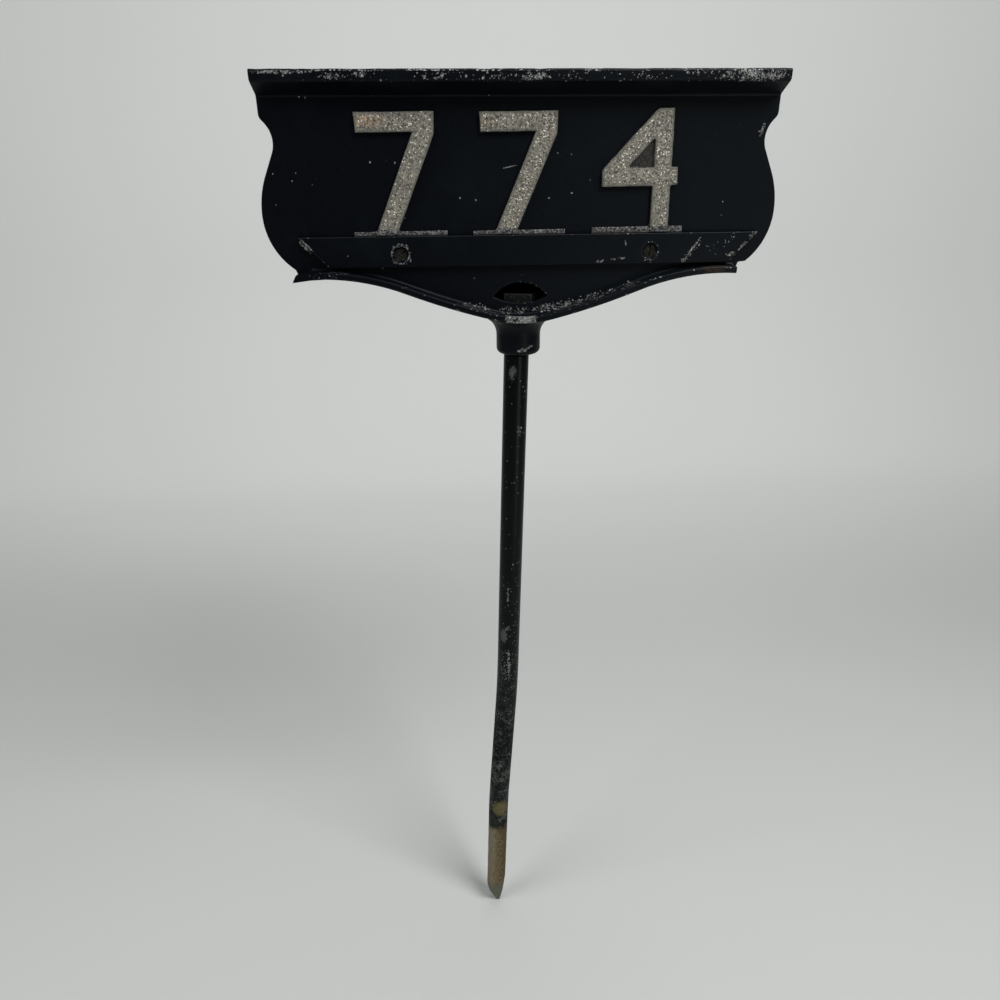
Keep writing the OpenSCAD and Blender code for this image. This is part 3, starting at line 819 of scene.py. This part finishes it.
@dataclass
class Casting:
    """The cast panel with its ledge, flange, socket and nut boss. Sizes and places in millimetres.

    The nose is the ledge's front. The crisp places are the screw holes and the flange's broken ends, each
    with its place along X and Z and its reach.
    """

    edge: float = 0.55
    nose_y: float = -32.0
    nose_ends: tuple[float, float] = (-155.0, 199.0)
    nose_step: float = 3.5
    nose_wave: float = 9.0
    nose_shift: Place = (0.0, 0.0, 0.42)
    crisp_places: tuple[tuple[float, float, float], ...] = (
        (-64.9, 557.7, 4.0), (112.4, 556.6, 4.0), (-133.0, 544.5, 9.0), (175.5, 542.0, 2.5))
    specks: tuple[Speck, ...] = tuple(Speck((x, y, z), r) for y, r, places in (
        # Panel
        (-18.4, 0.5, ((-136.4, 658.1), (-125.1, 655.8), (-121.3, 655.2), (-77.9, 656.8), (-56.5, 656.7),
                      (-1.4, 656.6), (-82.3, 616.9), (-65.6, 616.2), (-135.6, 605.6), (-147.7, 610.1),
                      (-148.2, 590.6), (-22.3, 593.8), (-11.3, 592.4), (39.6, 593.1), (45.2, 621.5),
                      (67.9, 604.4), (55.6, 596.2))),
        # Crevice above the flange
        (-18.4, 0.55, ((-23.0, 521.9), (-17.1, 522.5), (-9.8, 522.0), (74.8, 528.0), (85.8, 530.0),
                       (98.8, 536.1))),
        # Flange, left half
        (-25.0, 0.45, ((-47.3, 531.6), (-46.1, 527.3), (-85.1, 553.6), (-94.3, 553.1), (-82.0, 548.1),
                       (-80.9, 544.0))),
        # Ledge
        (-33.1, 0.8, ((-86.3, 667.9), (-82.0, 666.3), (-16.6, 666.0), (-5.8, 665.0))),
    ) for x, z in places)
    patches: tuple[Patch, ...] = (
        # Ledge: thinly peppered all along, and rubbed places from left to right
        Patch((20.0, -33.0, 666.0), (195.0, 4.0, 4.4), 0.0, 0.030, jag=0.2),
        Patch((-132.0, -33.0, 668.6), (24.0, 4.0, 1.4), 0.0, 0.55, jag=0.5),
        Patch((-101.0, -33.0, 666.2), (16.0, 4.0, 2.6), 0.0, 0.26),
        Patch((-84.0, -33.0, 667.0), (6.0, 4.0, 2.0), 0.0, 0.40),
        Patch((-43.2, -33.0, 666.7), (2.0, 4.0, 2.4), 20.0, 0.8, jag=0.3),
        Patch((-35.0, -33.0, 666.1), (2.0, 4.0, 2.8), -25.0, 1.0, jag=0.3),
        Patch((-31.8, -33.0, 666.6), (1.3, 4.0, 2.6), -25.0, 0.9, jag=0.3),
        Patch((4.0, -33.0, 666.0), (12.0, 4.0, 2.6), 0.0, 0.13),
        Patch((27.0, -33.0, 665.8), (13.5, 4.0, 2.8), 0.0, 0.46),
        Patch((101.5, -33.0, 666.0), (10.0, 4.0, 2.4), 0.0, 0.10),
        Patch((134.0, -33.0, 667.8), (14.0, 4.0, 1.8), 0.0, 0.26),
        Patch((170.0, -33.0, 666.6), (28.0, 5.0, 4.8), 0.0, 0.56),
        # Flange: scrape over the socket, rubbed left end, broken right end
        Patch((19.35, -28.4, 512.4), (11.9, 4.0, 4.5), 0.0, 0.92, jag=0.16, boxy=True),
        Patch((-118.0, -24.0, 544.0), (24.0, 9.0, 4.2), 8.0, 0.06),
        Patch((161.0, -28.0, 545.5), (15.0, 9.0, 5.5), 0.0, 0.75, Mark.STAIN),
        # Crevice above the flange, densest right of the middle
        Patch((-12.0, -21.0, 519.4), (19.0, 9.0, 3.6), -9.0, 0.16),
        Patch((16.0, -21.0, 517.0), (24.0, 9.0, 3.4), 0.0, 0.26),
        Patch((46.0, -21.0, 519.6), (24.0, 9.0, 3.8), 9.0, 0.30),
        Patch((72.0, -21.0, 525.8), (20.0, 9.0, 3.4), 15.0, 0.20),
        Patch((98.0, -21.0, 533.0), (18.0, 9.0, 2.8), 14.0, 0.12),
        Patch((-84.0, -21.0, 550.0), (12.0, 9.0, 3.6), 0.0, 0.10),
        # Below the scratch at the bar's left end
        Patch((-131.4, -18.4, 562.6), (6.6, 2.5, 1.5), -46.4, 0.9, jag=0.4),
        # Chips on the socket's rim
        Patch((21.2, -17.0, 486.3), (5.4, 7.0, 1.9), 12.0, 0.62, jag=0.6),
        Patch((27.0, -15.0, 488.6), (3.4, 7.0, 1.6), 25.0, 0.40, jag=0.5),
        # Panel: a painted highlight on the rim at the right waist, and a hair scratch
        Patch((185.8, -18.0, 635.2), (1.5, 5.0, 5.4), -14.0, 0.50, jag=0.3),
        Patch((12.7, -18.4, 613.4), (5.6, 2.0, 0.42), 11.5, 1.0, jag=0.1),
    )

    def build(self) -> None:
        """Models and dresses the casting."""
        paint = WornPaint("casting_worn_paint", patches=self.patches, spots=self.specks).make()
        mesh = merged_copy(Node.CASTING)
        self._slice_nose(mesh)
        sway(self._nose(mesh), self.nose_shift, self.nose_wave)
        for vert in mesh.verts:
            vert.co.z = min(vert.co.z, CAD_BOX[1].z)
        soften(mesh, self.edge, crisp=self._is_crisp)
        Piece("cast_panel", Slot.CASTING, paint, Node.CASTING).place(mesh)

    def _nose(self, mesh: bmesh.types.BMesh) -> set[bmesh.types.BMVert]:
        """Finds the points of the ledge's front."""
        return {v for v in mesh.verts if v.co.y < self.nose_y * MM}

    def _slice_nose(self, mesh: bmesh.types.BMesh) -> None:
        """Cuts the ledge's front across into short stretches.

        Args:
            mesh: The casting.
        """
        low, high = self.nose_ends
        for count in range(int((high - low) / self.nose_step)):
            faces = {f for v in self._nose(mesh) for f in v.link_faces}
            edges = {e for f in faces for e in f.edges}
            points = {v for f in faces for v in f.verts}
            bmesh.ops.bisect_plane(mesh, geom=[*points, *edges, *faces], plane_no=(1.0, 0.0, 0.0),
                                   plane_co=((low + count * self.nose_step) * MM, 0.0, 0.0))

    def _is_crisp(self, edge: Edge) -> bool:
        """Tells whether an edge is part of a screw hole or of a break."""
        middle = (edge.verts[0].co + edge.verts[1].co) / (2 * MM)
        return any(math.hypot(middle.x - x, middle.z - z) < reach for x, z, reach in self.crisp_places)


@dataclass
class Bar:
    """The bar that clamps the numerals' feet. Sizes and places in millimetres."""

    edge: float = 0.4
    # How much the rounded edges are lightened: polish, and a painted highlight along the top edge
    edge_polish_and_highlight: float = 0.6
    fleck_share: float = 0.012
    back_y: float = -18.6
    patches: tuple[Patch, ...] = (
        # Scratch at the left end
        Patch((-130.2, -23.0, 564.0), (7.2, 3.0, 2.0), -46.4, 1.0, jag=0.4),
        # Round the screws
        Patch((-64.9, -23.0, 557.7), (8.3, 1.6, 8.3), 0.0, 0.90, jag=0.2),
        Patch((112.4, -23.0, 556.6), (7.8, 1.6, 7.8), 0.0, 0.30, jag=0.25),
        # Low scrapes left of the right screw
        Patch((76.6, -23.0, 550.9), (3.4, 3.0, 1.2), 5.0, 0.9, jag=0.4),
        Patch((85.9, -23.0, 552.2), (2.4, 3.0, 0.9), 8.0, 0.7, jag=0.4),
        Patch((92.4, -23.0, 552.8), (3.0, 3.0, 1.1), 5.0, 0.9, jag=0.4),
        Patch((94.6, -23.0, 562.6), (2.9, 3.0, 0.7), -70.0, 0.7, jag=0.3),
        # Long diagonal scratch with its rubbed lower end
        Patch((143.4, -23.0, 559.2), (11.6, 3.0, 1.15), 54.9, 1.0, jag=0.35),
        Patch((143.4, -23.0, 559.2), (12.0, 3.0, 4.0), 54.9, 0.06, jag=0.4),
        Patch((137.4, -23.0, 550.8), (3.6, 3.0, 2.0), 0.0, 0.70, jag=0.5),
        # Rubbed line round the right end
        Patch((186.2, -23.0, 566.5), (5.6, 3.0, 2.5), 47.7, 0.80, jag=0.5),
        Patch((180.0, -23.0, 559.1), (6.6, 3.0, 2.4), 52.5, 0.85, jag=0.5),
        Patch((171.5, -23.0, 554.6), (7.2, 3.0, 1.8), 4.2, 0.55, jag=0.6),
        Patch((165.0, -23.0, 562.0), (20.0, 3.0, 6.0), 25.0, 0.03, jag=0.4),
    )

    def build(self) -> None:
        """Models and dresses the bar."""
        paint = WornPaint("bar_worn_paint", edge_polish_and_highlight=self.edge_polish_and_highlight, fleck_share=self.fleck_share,
                          patches=self.patches).make()
        mesh = merged_copy(Node.BAR)
        soften(mesh, self.edge, crisp=lambda edge: all(v.co.y > self.back_y * MM for v in edge.verts))
        Piece("clamping_bar", Slot.BAR, paint, Node.BAR).place(mesh)


@dataclass
class Numerals:
    """The three cast digits with their feet. Sizes and places in millimetres.

    The web is the sunken floor in the counter of the four: how far it lies behind the front, and its least
    height.
    """

    edge: float = 0.45
    foot_top: Span = (572.0, 574.4)
    fillet: float = 2.3
    dome_width: float = 3.0
    dome_drop: float = 0.4
    web_sink: Span = (1.5, 2.5)
    web_low: float = 603.5
    wave_above: float = 577.4
    wave_step: float = 2.6
    wave_shift: Place = (0.20, 0.0, 0.20)
    wave_size: float = 5.0
    patches: tuple[Patch, ...] = (
        Patch((-83.0, -22.0, 641.5), (17.0, 5.0, 4.6), 0.0, 0.85, Mark.STAIN),
        Patch((-4.0, -22.0, 641.0), (9.0, 5.0, 3.6), 0.0, 0.40, Mark.STAIN),
        Patch((128.0, -22.0, 638.0), (4.0, 5.0, 12.0), 0.0, 0.35, Mark.STAIN),
    )

    def build(self) -> None:
        """Models and dresses the digits."""
        finish = BeadBlasted(patches=self.patches).make()
        for node in (Node.NUMERAL_LEFT, Node.NUMERAL_MIDDLE, Node.NUMERAL_RIGHT):
            mesh = merged_copy(node)
            mesh.normal_update()
            front = min(v.co.y for v in mesh.verts)
            self._mark(mesh, front, node is Node.NUMERAL_RIGHT)
            self._dome(mesh, front)
            self._fillet(mesh)
            self._split_corners(mesh)
            wander_outline(mesh, self._outline, self.wave_step, self.wave_shift, self.wave_size)
            soften(mesh, self.edge)
            self._split_corners(mesh)
            Piece(node.value.replace("numeral", "digit"), Slot.NUMERALS, finish, node).place(mesh)

    def _mark(self, mesh: bmesh.types.BMesh, front: float, has_web: bool) -> None:
        """Marks the web and the flanks in the face layers WEB and FLANK.

        Args:
            mesh: A digit.
            front: Place of its front face along Y, in metres.
            has_web: Whether the digit is the four.
        """
        web = mesh.faces.layers.float.new(Layer.WEB.value)
        flank = mesh.faces.layers.float.new(Layer.FLANK.value)
        for face in mesh.faces:
            middle = face.calc_center_median()
            sunk = self.web_sink[0] * MM < middle.y - front < self.web_sink[1] * MM and face.normal.y < -0.9
            face[web] = 1.0 if has_web and sunk and middle.z > self.web_low * MM else 0.0
            face[flank] = 1.0 if abs(face.normal.y) < 0.5 else 0.0

    def _dome(self, mesh: bmesh.types.BMesh, front: float) -> None:
        """Lets the strokes' margins fall back, and marks their middles in the point layer CORE.

        Args:
            mesh: A digit with clean outlines.
            front: Place of its front face along Y, in metres.
        """
        core = mesh.verts.layers.float.new(Layer.CORE.value)
        faces = [f for f in mesh.faces
                 if f.normal.y < -0.99 and abs(f.calc_center_median().y - front) < 0.05 * MM]
        ring = bmesh.ops.inset_region(mesh, faces=faces, thickness=self.dome_width * MM,
                                      use_even_offset=True, use_boundary=True)["faces"]
        inner = {v for f in faces for v in f.verts}
        for vert in inner:
            vert[core] = 1.0
        for vert in {v for f in ring for v in f.verts} - inner:
            vert.co.y += self.dome_drop * MM
        mesh.normal_update()

    def _split_corners(self, mesh: bmesh.types.BMesh) -> None:
        """Splits faces of many corners into triangles."""
        bmesh.ops.triangulate(mesh, faces=[f for f in mesh.faces if len(f.verts) > 4], ngon_method="BEAUTY")

    def _fillet(self, mesh: bmesh.types.BMesh) -> None:
        """Rounds the corners where a digit's leg meets its foot.

        Args:
            mesh: A digit with clean outlines.
        """
        low, high = (height * MM for height in self.foot_top)
        joints = [e for e in mesh.edges if e.is_contiguous and e.calc_face_angle_signed() < -0.5
                  and all(low < v.co.z < high for v in e.verts)
                  and abs(e.verts[0].co.y - e.verts[1].co.y) > 0.5 * MM]
        bmesh.ops.bevel(mesh, geom=joints, offset=self.fillet * MM, offset_type="OFFSET", segments=5,
                        profile=0.5, affect="EDGES", clamp_overlap=False, material=-1, loop_slide=True)

    def _outline(self, edge: Edge) -> bool:
        """Tells whether an edge belongs to a digit's outline or its margin, above its foot.

        Args:
            edge: The edge.

        Returns:
            True if its points wander.
        """
        level = abs(edge.verts[0].co.y - edge.verts[1].co.y) < 0.01 * MM
        above = any(v.co.z > self.wave_above * MM for v in edge.verts)
        return level and above and edge.calc_face_angle(0.0) > 0.02


@dataclass
class Fasteners:
    """The bar's screws and the nut behind the window. Sizes in millimetres."""

    screw_edge: float = 0.12
    nut_edge: float = 0.35
    screw_steel: TarnishedSteel = TarnishedSteel(
        "tarnished_screws", (0.0085, 0.0080, 0.0055), (0.0120, 0.0080, 0.0045), (0.065, 0.060, 0.045),
        rust_from=0.50, metallic=0.1, specular=0.15)
    nut_steel: TarnishedSteel = TarnishedSteel(
        "dull_nut", (0.0030, 0.0040, 0.0038), (0.0060, 0.0050, 0.0036), (0.030, 0.032, 0.030),
        rust_from=0.56, metallic=0.0, specular=0.08)

    def build(self) -> None:
        """Models and dresses the screws and the nut."""
        for name, slot, steel, node, edge in (
                ("countersunk_screws", Slot.SCREWS, self.screw_steel, Node.SCREWS, self.screw_edge),
                ("hex_nut", Slot.NUT, self.nut_steel, Node.NUT, self.nut_edge)):
            mesh = merged_copy(node)
            soften(mesh, edge)
            Piece(name, slot, steel.make(), node).place(mesh)


@dataclass
class Stake:
    """The bent round stake with its ground point and threaded end. Sizes in millimetres, angles in degrees.

    Each flat of the point is the direction that it faces, about the axis, and its slope against the axis.
    """

    radius: float = 9.75
    thread_radius: float = 7.95
    thread_pitch: float = 2.3
    thread_depth: float = 0.9
    thread_gap: float = 1.5
    thread_chamfer: float = 1.0
    buried: float = 124.5
    lean_low: float = 1.87
    lean_mid: float = 3.77
    lean_top: float = 1.48
    bend_low_z: float = 23.2
    bend_high_z: float = 168.9
    bend_low_radius: float = 1000.0
    bend_high_radius: float = 1500.0
    shoulder: float = 1.0
    shoulder_gap: float = 0.3
    edge: float = 0.3
    sides: int = 96
    ring: float = 2.0
    tip_x: float = 2.6
    blunt: float = 1.8
    flats: tuple[Span, ...] = ((0.0, 6.9), (180.0, 21.7), (90.0, 13.0), (-90.0, 13.0))
    rot_from: float = 15.0
    rot_fade: float = 60.0
    rot: float = 0.16
    rot_lumps: Span = (7.0, 2.5)
    patches: tuple[Patch, ...] = (
        # Grey scuffs under the socket and down the front
        Patch((14.5, -9.0, 467.5), (3.6, 5.0, 7.0), -12.0, 1.0, Mark.SCRAPE, jag=1.9),
        Patch((20.0, -8.0, 417.0), (2.4, 6.0, 15.0), -2.0, 0.16),
        Patch((14.0, -9.0, 300.0), (5.0, 5.0, 3.5), 0.0, 0.08),
        Patch((10.2, -9.0, 267.5), (1.3, 5.0, 14.0), 0.0, 0.45),
        Patch((5.7, -9.0, 224.7), (5.4, 6.0, 9.8), 0.0, 1.0, Mark.SCRAPE, jag=0.8),
        Patch((9.4, -9.0, 233.0), (5.4, 5.0, 2.0), 55.0, 1.0, Mark.SCRAPE, jag=0.6),
        Patch((10.7, -9.0, 196.0), (1.7, 5.0, 22.0), 0.0, 0.72, jag=0.6),
        Patch((6.0, -9.0, 190.0), (5.0, 5.0, 24.0), 0.0, 0.12),
        # Where it came out of the ground
        Patch((2.4, -9.0, 16.5), (14.0, 12.0, 14.5), 0.0, 0.80, Mark.STAIN, jag=0.5),
        Patch((-6.5, -7.0, -3.0), (9.0, 9.0, 11.5), 0.0, 1.0, Mark.SMEAR, jag=0.9),
    )

    def _walk(self, mesh: bmesh.types.BMesh, loop: list[Edge], length: float, radius: float = 0.0,
              turn: float = 0.0) -> list[Edge]:
        """Extrudes the open end along one stretch, straight or bent towards +X.

        Args:
            mesh: The mesh to grow.
            loop: Edges of the open end.
            length: Length of the stretch along the axis, in millimetres.
            radius: Bending radius, or 0 for a straight stretch.
            turn: Angle of the bend, in degrees; negative bends towards -X.

        Returns:
            Edges of the new open end.
        """
        steps = max(1, round(length / self.ring))
        for _ in range(steps):
            grown = bmesh.ops.extrude_edge_only(mesh, edges=loop)["geom"]
            verts = [g for g in grown if isinstance(g, bmesh.types.BMVert)]
            loop = [g for g in grown if isinstance(g, Edge) and all(v in verts for v in g.verts)]
            up = Vector((math.sin(self._heading), 0.0, math.cos(self._heading)))
            if radius:
                side = math.copysign(1.0, turn)
                centre = self._end + side * radius * MM * Vector((up.z, 0.0, -up.x))
                step = Matrix.Rotation(math.radians(turn) / steps, 3, "Y")
                bmesh.ops.rotate(mesh, verts=verts, cent=centre, matrix=step)
                self._end = centre + step @ (self._end - centre)
                self._heading += math.radians(turn) / steps
            else:
                move = up * (length / steps * MM)
                bmesh.ops.translate(mesh, verts=verts, vec=move)
                self._end = self._end + move
        return loop

    def _ease_to(self, mesh: bmesh.types.BMesh, loop: list[Edge], radius: float, rise: float) -> list[Edge]:
        """Extrudes one ring to another radius.

        Args:
            mesh: The mesh to grow.
            loop: Edges of the open end.
            radius: New radius, in millimetres.
            rise: Distance along the axis, in millimetres.

        Returns:
            Edges of the new open end.
        """
        loop = self._walk(mesh, loop, rise)
        verts = list({v for e in loop for v in e.verts})
        now = max((v.co - self._end).length for v in verts)
        scale = Matrix.Diagonal((radius * MM / now,) * 3)
        bmesh.ops.transform(mesh, verts=verts, matrix=scale.to_4x4(), space=Matrix.Translation(-self._end))
        return loop

    def build(self) -> None:
        """Models and dresses the stake from the point upwards."""
        low_turn = self.lean_mid - self.lean_low
        high_turn = self.lean_mid - self.lean_top
        low_tangent = self.bend_low_radius * math.tan(math.radians(low_turn) / 2)
        high_tangent = self.bend_high_radius * math.tan(math.radians(high_turn) / 2)
        low = self.bend_low_z / math.cos(math.radians(self.lean_low)) - low_tangent
        mid = ((self.bend_high_z - self.bend_low_z) / math.cos(math.radians(self.lean_mid))
               - low_tangent - high_tangent)
        top_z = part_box(Node.STAKE.value)[1].z / MM
        shoulder_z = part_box(Node.CASTING.value)[0].z / MM - self.shoulder_gap
        mesh = bmesh.new()
        bmesh.ops.create_circle(mesh, cap_ends=True, segments=self.sides, radius=self.radius * MM)
        bmesh.ops.reverse_faces(mesh, faces=mesh.faces)
        self._heading = 0.0
        self._end = Vector((0.0, 0.0, 0.0))
        loop = list(mesh.edges)
        loop = self._walk(mesh, loop, self.buried + low)
        for turn, slope in self.flats:
            self._grind(mesh, turn, slope)
        bmesh.ops.translate(mesh, verts=mesh.verts, vec=(0.0, 0.0, -self.buried * MM))
        bmesh.ops.rotate(mesh, verts=mesh.verts, cent=(0, 0, 0),
                         matrix=Matrix.Rotation(math.radians(self.lean_low), 3, "Y"))
        self._heading = math.radians(self.lean_low)
        self._end = Vector((math.sin(self._heading), 0.0, math.cos(self._heading))) * (low * MM)
        loop = [e for e in mesh.edges if e.is_boundary]
        loop = self._walk(mesh, loop, self.bend_low_radius * math.radians(low_turn),
                          self.bend_low_radius, low_turn)
        loop = self._walk(mesh, loop, mid)
        loop = self._walk(mesh, loop, self.bend_high_radius * math.radians(high_turn),
                          self.bend_high_radius, -high_turn)
        loop = self._walk(mesh, loop, shoulder_z - self.shoulder - self._end.z / MM)
        loop = self._ease_to(mesh, loop, self.radius - self.shoulder, self.shoulder)
        loop = self._ease_to(mesh, loop, self.thread_radius, 0.0)
        loop = self._thread(mesh, loop, top_z - shoulder_z - self.thread_gap)
        loop = self._ease_to(mesh, loop, self.thread_radius - self.thread_chamfer, self.thread_chamfer)
        bmesh.ops.contextual_create(mesh, geom=loop)
        soften(mesh, self.edge, sharp=40.0)
        self._weather(mesh)
        bmesh.ops.recalc_face_normals(mesh, faces=mesh.faces)
        paint = EarthStainedPaint(patches=self.patches).make()
        Piece("pointed_stake", Slot.STAKE, paint, Node.STAKE).place(mesh, 50.0)

    def _grind(self, mesh: bmesh.types.BMesh, turn: float, slope: float) -> None:
        """Cuts one flat of the ground point.

        Args:
            mesh: The lowest stretch, its tip at the origin.
            turn: Direction that the flat faces, about the axis, in degrees.
            slope: Slope of the flat against the axis, in degrees.
        """
        outward = Matrix.Rotation(math.radians(turn), 3, "Z") @ Vector((1.0, 0.0, 0.0))
        tip = Vector((self.tip_x if outward.x ** 2 > 0.5 else 0.0, 0.0, 0.0)) * MM + outward * self.blunt * MM
        lean = math.radians(slope)
        normal = outward * math.cos(lean) - Vector((0, 0, 1)) * math.sin(lean)
        everything = list(mesh.verts) + list(mesh.edges) + list(mesh.faces)
        cut = bmesh.ops.bisect_plane(mesh, geom=everything, plane_co=tip, plane_no=normal, clear_outer=True)
        rim = [g for g in cut["geom_cut"] if isinstance(g, Edge)]
        bmesh.ops.contextual_create(mesh, geom=rim)

    def _thread(self, mesh: bmesh.types.BMesh, loop: list[Edge], length: float) -> list[Edge]:
        """Grows the threaded end as close ridges.

        Args:
            mesh: The mesh to grow.
            loop: Edges of the open end.
            length: Length of the thread, in millimetres.

        Returns:
            Edges of the new open end.
        """
        for _ in range(int(length / self.thread_pitch)):
            loop = self._ease_to(mesh, loop, self.thread_radius - self.thread_depth, self.thread_pitch / 2)
            loop = self._ease_to(mesh, loop, self.thread_radius, self.thread_pitch / 2)
        return loop

    def _weather(self, mesh: bmesh.types.BMesh) -> None:
        """Roughens the part that stood in the ground by up to a few tenths of a millimetre.

        Args:
            mesh: The whole stake.
        """
        wide, narrow = self.rot_lumps
        for vert in mesh.verts:
            depth = min(1.0, max(0.0, (self.rot_from * MM - vert.co.z) / (self.rot_fade * MM)))
            lump = noise.noise(vert.co / (wide * MM)) + 0.5 * noise.noise(vert.co / (narrow * MM))
            outward = Vector((vert.co.x, vert.co.y, 0.0)).normalized()
            vert.co -= outward * (depth * self.rot * (1.0 + lump) * MM)


@dataclass
class Studio:
    """Floor with a backdrop, lamps and camera. Sizes in metres, angles in degrees.

    Each lamp is its name, place, width, height and power in watts.
    """

    floor_drop: float = -0.1252
    camera_place: Place = (-0.0305, -0.5784, 0.614)
    pitch: float = -24.0
    yaw: float = 3.48
    roll: float = -0.5
    focal_pixels: float = 751.0
    frame_pixels: float = 1000.0
    sensor: float = 36.0
    pale: Colour = (0.56, 0.575, 0.56)
    glow: Colour = (0.80, 0.82, 0.80)
    glow_strength: float = 0.26
    air: Colour = (0.62, 0.64, 0.64)
    air_strength: float = 0.16
    half_width: float = 3.0
    front: float = -3.0
    back: float = 1.1
    sweep_radius: float = 0.5
    height: float = 2.6
    glow_from_y: float = 0.4
    glow_over: float = 0.9
    paper_cloud: float = 400.0
    paper_shade: float = 0.97
    aim: Place = (0.02, 0.0, 0.45)
    lamps: tuple[tuple[str, Place, float, float, float], ...] = (
        ("key", (0.85, -0.9, 1.9), 0.9, 0.9, 35.0),
        ("fill", (-1.3, -0.7, 1.3), 1.0, 1.0, 12.0),
        ("top", (0.1, 0.15, 1.9), 0.8, 0.8, 6.0),
        ("low_strip", (0.60, -0.95, 0.14), 0.18, 0.50, 1.2),
    )

    def build(self) -> None:
        """Makes the stage, the light and the camera."""
        self._camera()
        self._sweep()
        for name, place, width, height, power in self.lamps:
            light = bpy.data.lights.new(name, "AREA")
            light.shape, light.size, light.size_y, light.energy = "ELLIPSE", width, height, power
            lamp = bpy.data.objects.new(name, light)
            bpy.context.scene.collection.objects.link(lamp)
            lamp.location = place
            lamp.rotation_euler = (Vector(self.aim) - Vector(place)).to_track_quat("-Z", "Y").to_euler()
        world = bpy.data.worlds.new("studio_air")
        bpy.context.scene.world = world
        world.use_nodes = True
        background = world.node_tree.nodes["Background"]
        background.inputs["Color"].default_value = (*self.air, 1.0)
        background.inputs["Strength"].default_value = self.air_strength
        bpy.context.scene.view_settings.view_transform = "Standard"

    def _camera(self) -> None:
        """Places the camera where the photograph was taken from."""
        data = bpy.data.cameras.new("photo_camera")
        data.sensor_width = self.sensor
        data.lens = self.sensor * self.focal_pixels / self.frame_pixels
        camera = bpy.data.objects.new("photo_camera", data)
        bpy.context.scene.collection.objects.link(camera)
        turn = (Matrix.Rotation(-math.radians(self.yaw), 4, "Z")
                @ Matrix.Rotation(math.radians(90.0 + self.pitch), 4, "X")
                @ Matrix.Rotation(math.radians(self.roll), 4, "Z"))
        camera.matrix_world = Matrix.Translation(self.camera_place) @ turn
        bpy.context.scene.camera = camera

    def _sweep(self) -> None:
        """Makes the pale floor that rises into a backdrop."""
        mesh = bmesh.new()
        profile = [mesh.verts.new((-self.half_width, y, self.floor_drop)) for y in (self.front, self.back)]
        mesh.edges.new(profile)
        axis = Vector((0.0, self.back, self.floor_drop + self.sweep_radius))
        bmesh.ops.spin(mesh, geom=[profile[1]], cent=axis, axis=(1, 0, 0), angle=math.pi / 2, steps=24)
        end = max(mesh.verts, key=lambda v: v.co.z)
        mesh.edges.new((end, mesh.verts.new((-self.half_width, self.back + self.sweep_radius, self.height))))
        grown = bmesh.ops.extrude_edge_only(mesh, edges=mesh.edges[:])["geom"]
        moved = [g for g in grown if isinstance(g, bmesh.types.BMVert)]
        bmesh.ops.translate(mesh, verts=moved, vec=(2 * self.half_width, 0, 0))
        bmesh.ops.recalc_face_normals(mesh, faces=mesh.faces)
        data = bpy.data.meshes.new("paper_sweep")
        mesh.to_mesh(data)
        mesh.free()
        data.shade_smooth()
        data.materials.append(self._paper())
        sweep = bpy.data.objects.new("paper_sweep", data)
        bpy.context.scene.collection.objects.link(sweep)

    def _paper(self) -> bpy.types.Material:
        """Makes the pale paper. It glows only as the camera sees it, also in mirrors and through glass.

        Returns:
            The finished material.
        """
        g = Graph("pale_paper")
        cloud = g.noise(self.paper_cloud, 2.0)
        shade = tuple(channel * self.paper_shade for channel in self.pale)
        seen = g.nodes.new("ShaderNodeLightPath")
        rays = ("Is Camera Ray", "Is Glossy Ray", "Is Transmission Ray")
        direct = g.greatest(*(seen.outputs[ray] for ray in rays))
        reach = g.greatest(g.z, g.math("SUBTRACT", g.y, self.glow_from_y / MM))
        glow = g.product(direct, g.ramp(reach, 0.0, self.glow_over / MM, 0.0, self.glow_strength))
        g.shader.inputs["Emission Color"].default_value = (*self.glow, 1.0)
        g.links.new(glow, g.shader.inputs["Emission Strength"])
        return g.finish(g.mix(self.pale, shade, cloud), 0.9, 0.0, g.bump(cloud, 0.2))


def main() -> None:
    """Builds everything in order."""
    logging.basicConfig(level=logging.INFO, format="%(message)s")
    noise.seed_set(NOISE_SEED)
    Studio().build()
    for assembly in (Casting(), Bar(), Numerals(), Fasteners(), Stake()):
        assembly.build()


if __name__ == "__main__":
    main()
